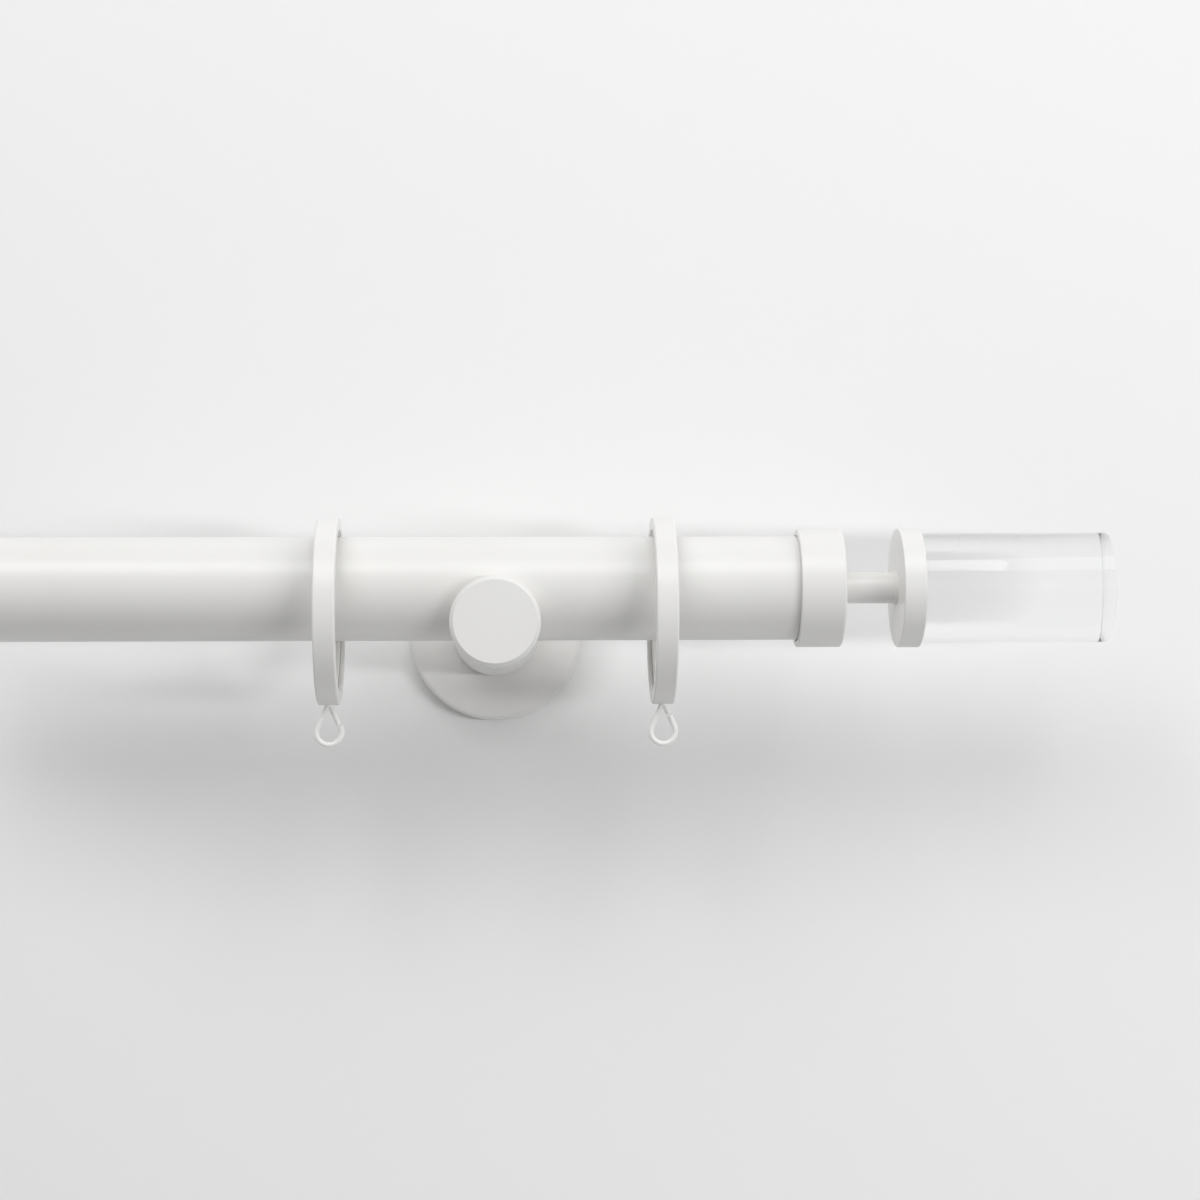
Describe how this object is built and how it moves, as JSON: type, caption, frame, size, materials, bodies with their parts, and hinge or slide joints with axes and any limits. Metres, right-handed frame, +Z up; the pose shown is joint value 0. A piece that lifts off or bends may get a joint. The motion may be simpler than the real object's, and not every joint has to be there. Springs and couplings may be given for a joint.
{
  "type": "curtain rod with rings",
  "caption": "Finial end of a curtain pole on a barrel wall bracket, with lined sliding rings, wire eyes for curtain hooks and a clear cylinder finial.",
  "frame": {"origin": "centre of the wall plate's back face, on the wall, on the bracket arm's axis", "axes": "+X along the pole towards the finial, +Y into the wall, +Z up"},
  "size_m": [0.5502, 0.13, 0.1102],
  "materials": {
    "white_coat": "white satin powder coat",
    "plug_alloy": "turned, uncoated",
    "zinc_steel": "zinc plated",
    "clear_acrylic": "clear, polished",
    "liner_nylon": "natural nylon"
  },
  "bodies": {
    "pole_and_bracket": {"pole_tube": "white_coat", "pole_plug": "plug_alloy", "bracket_arm": "white_coat", "bracket_rose": "white_coat", "wall_plate": "zinc_steel", "arm_bolt": "zinc_steel", "pole_grub_screw": "zinc_steel", "rose_grub_screw": "zinc_steel", "finial_end_cap": "white_coat", "finial_neck": "white_coat", "finial_disc": "white_coat", "finial_cylinder": "clear_acrylic", "finial_stud": "zinc_steel"},
    "left_glide": {"left_ring_liner": "liner_nylon"},
    "left_ring": {"left_ring_band": "white_coat", "left_ring_eye": "white_coat"},
    "right_glide": {"right_ring_liner": "liner_nylon"},
    "right_ring": {"right_ring_band": "white_coat", "right_ring_eye": "white_coat"}
  },
  "joints": [
    {"name": "left_ring_slide", "type": "slide", "parent": "pole_and_bracket", "child": "left_glide", "axis": [1, 0, 0], "range_m": [-0.16, 0.0495]},
    {"name": "left_ring_turn", "type": "hinge", "parent": "left_glide", "child": "left_ring", "pos_m": [-0.0795, -0.085, 0.0069], "axis": [1, 0, 0], "continuous": true},
    {"name": "right_ring_slide", "type": "slide", "parent": "pole_and_bracket", "child": "right_glide", "axis": [1, 0, 0], "range_m": [-0.0504, 0.0586]},
    {"name": "right_ring_turn", "type": "hinge", "parent": "right_glide", "child": "right_ring", "pos_m": [0.0804, -0.085, 0.0069], "axis": [1, 0, 0], "continuous": true}
  ]
}
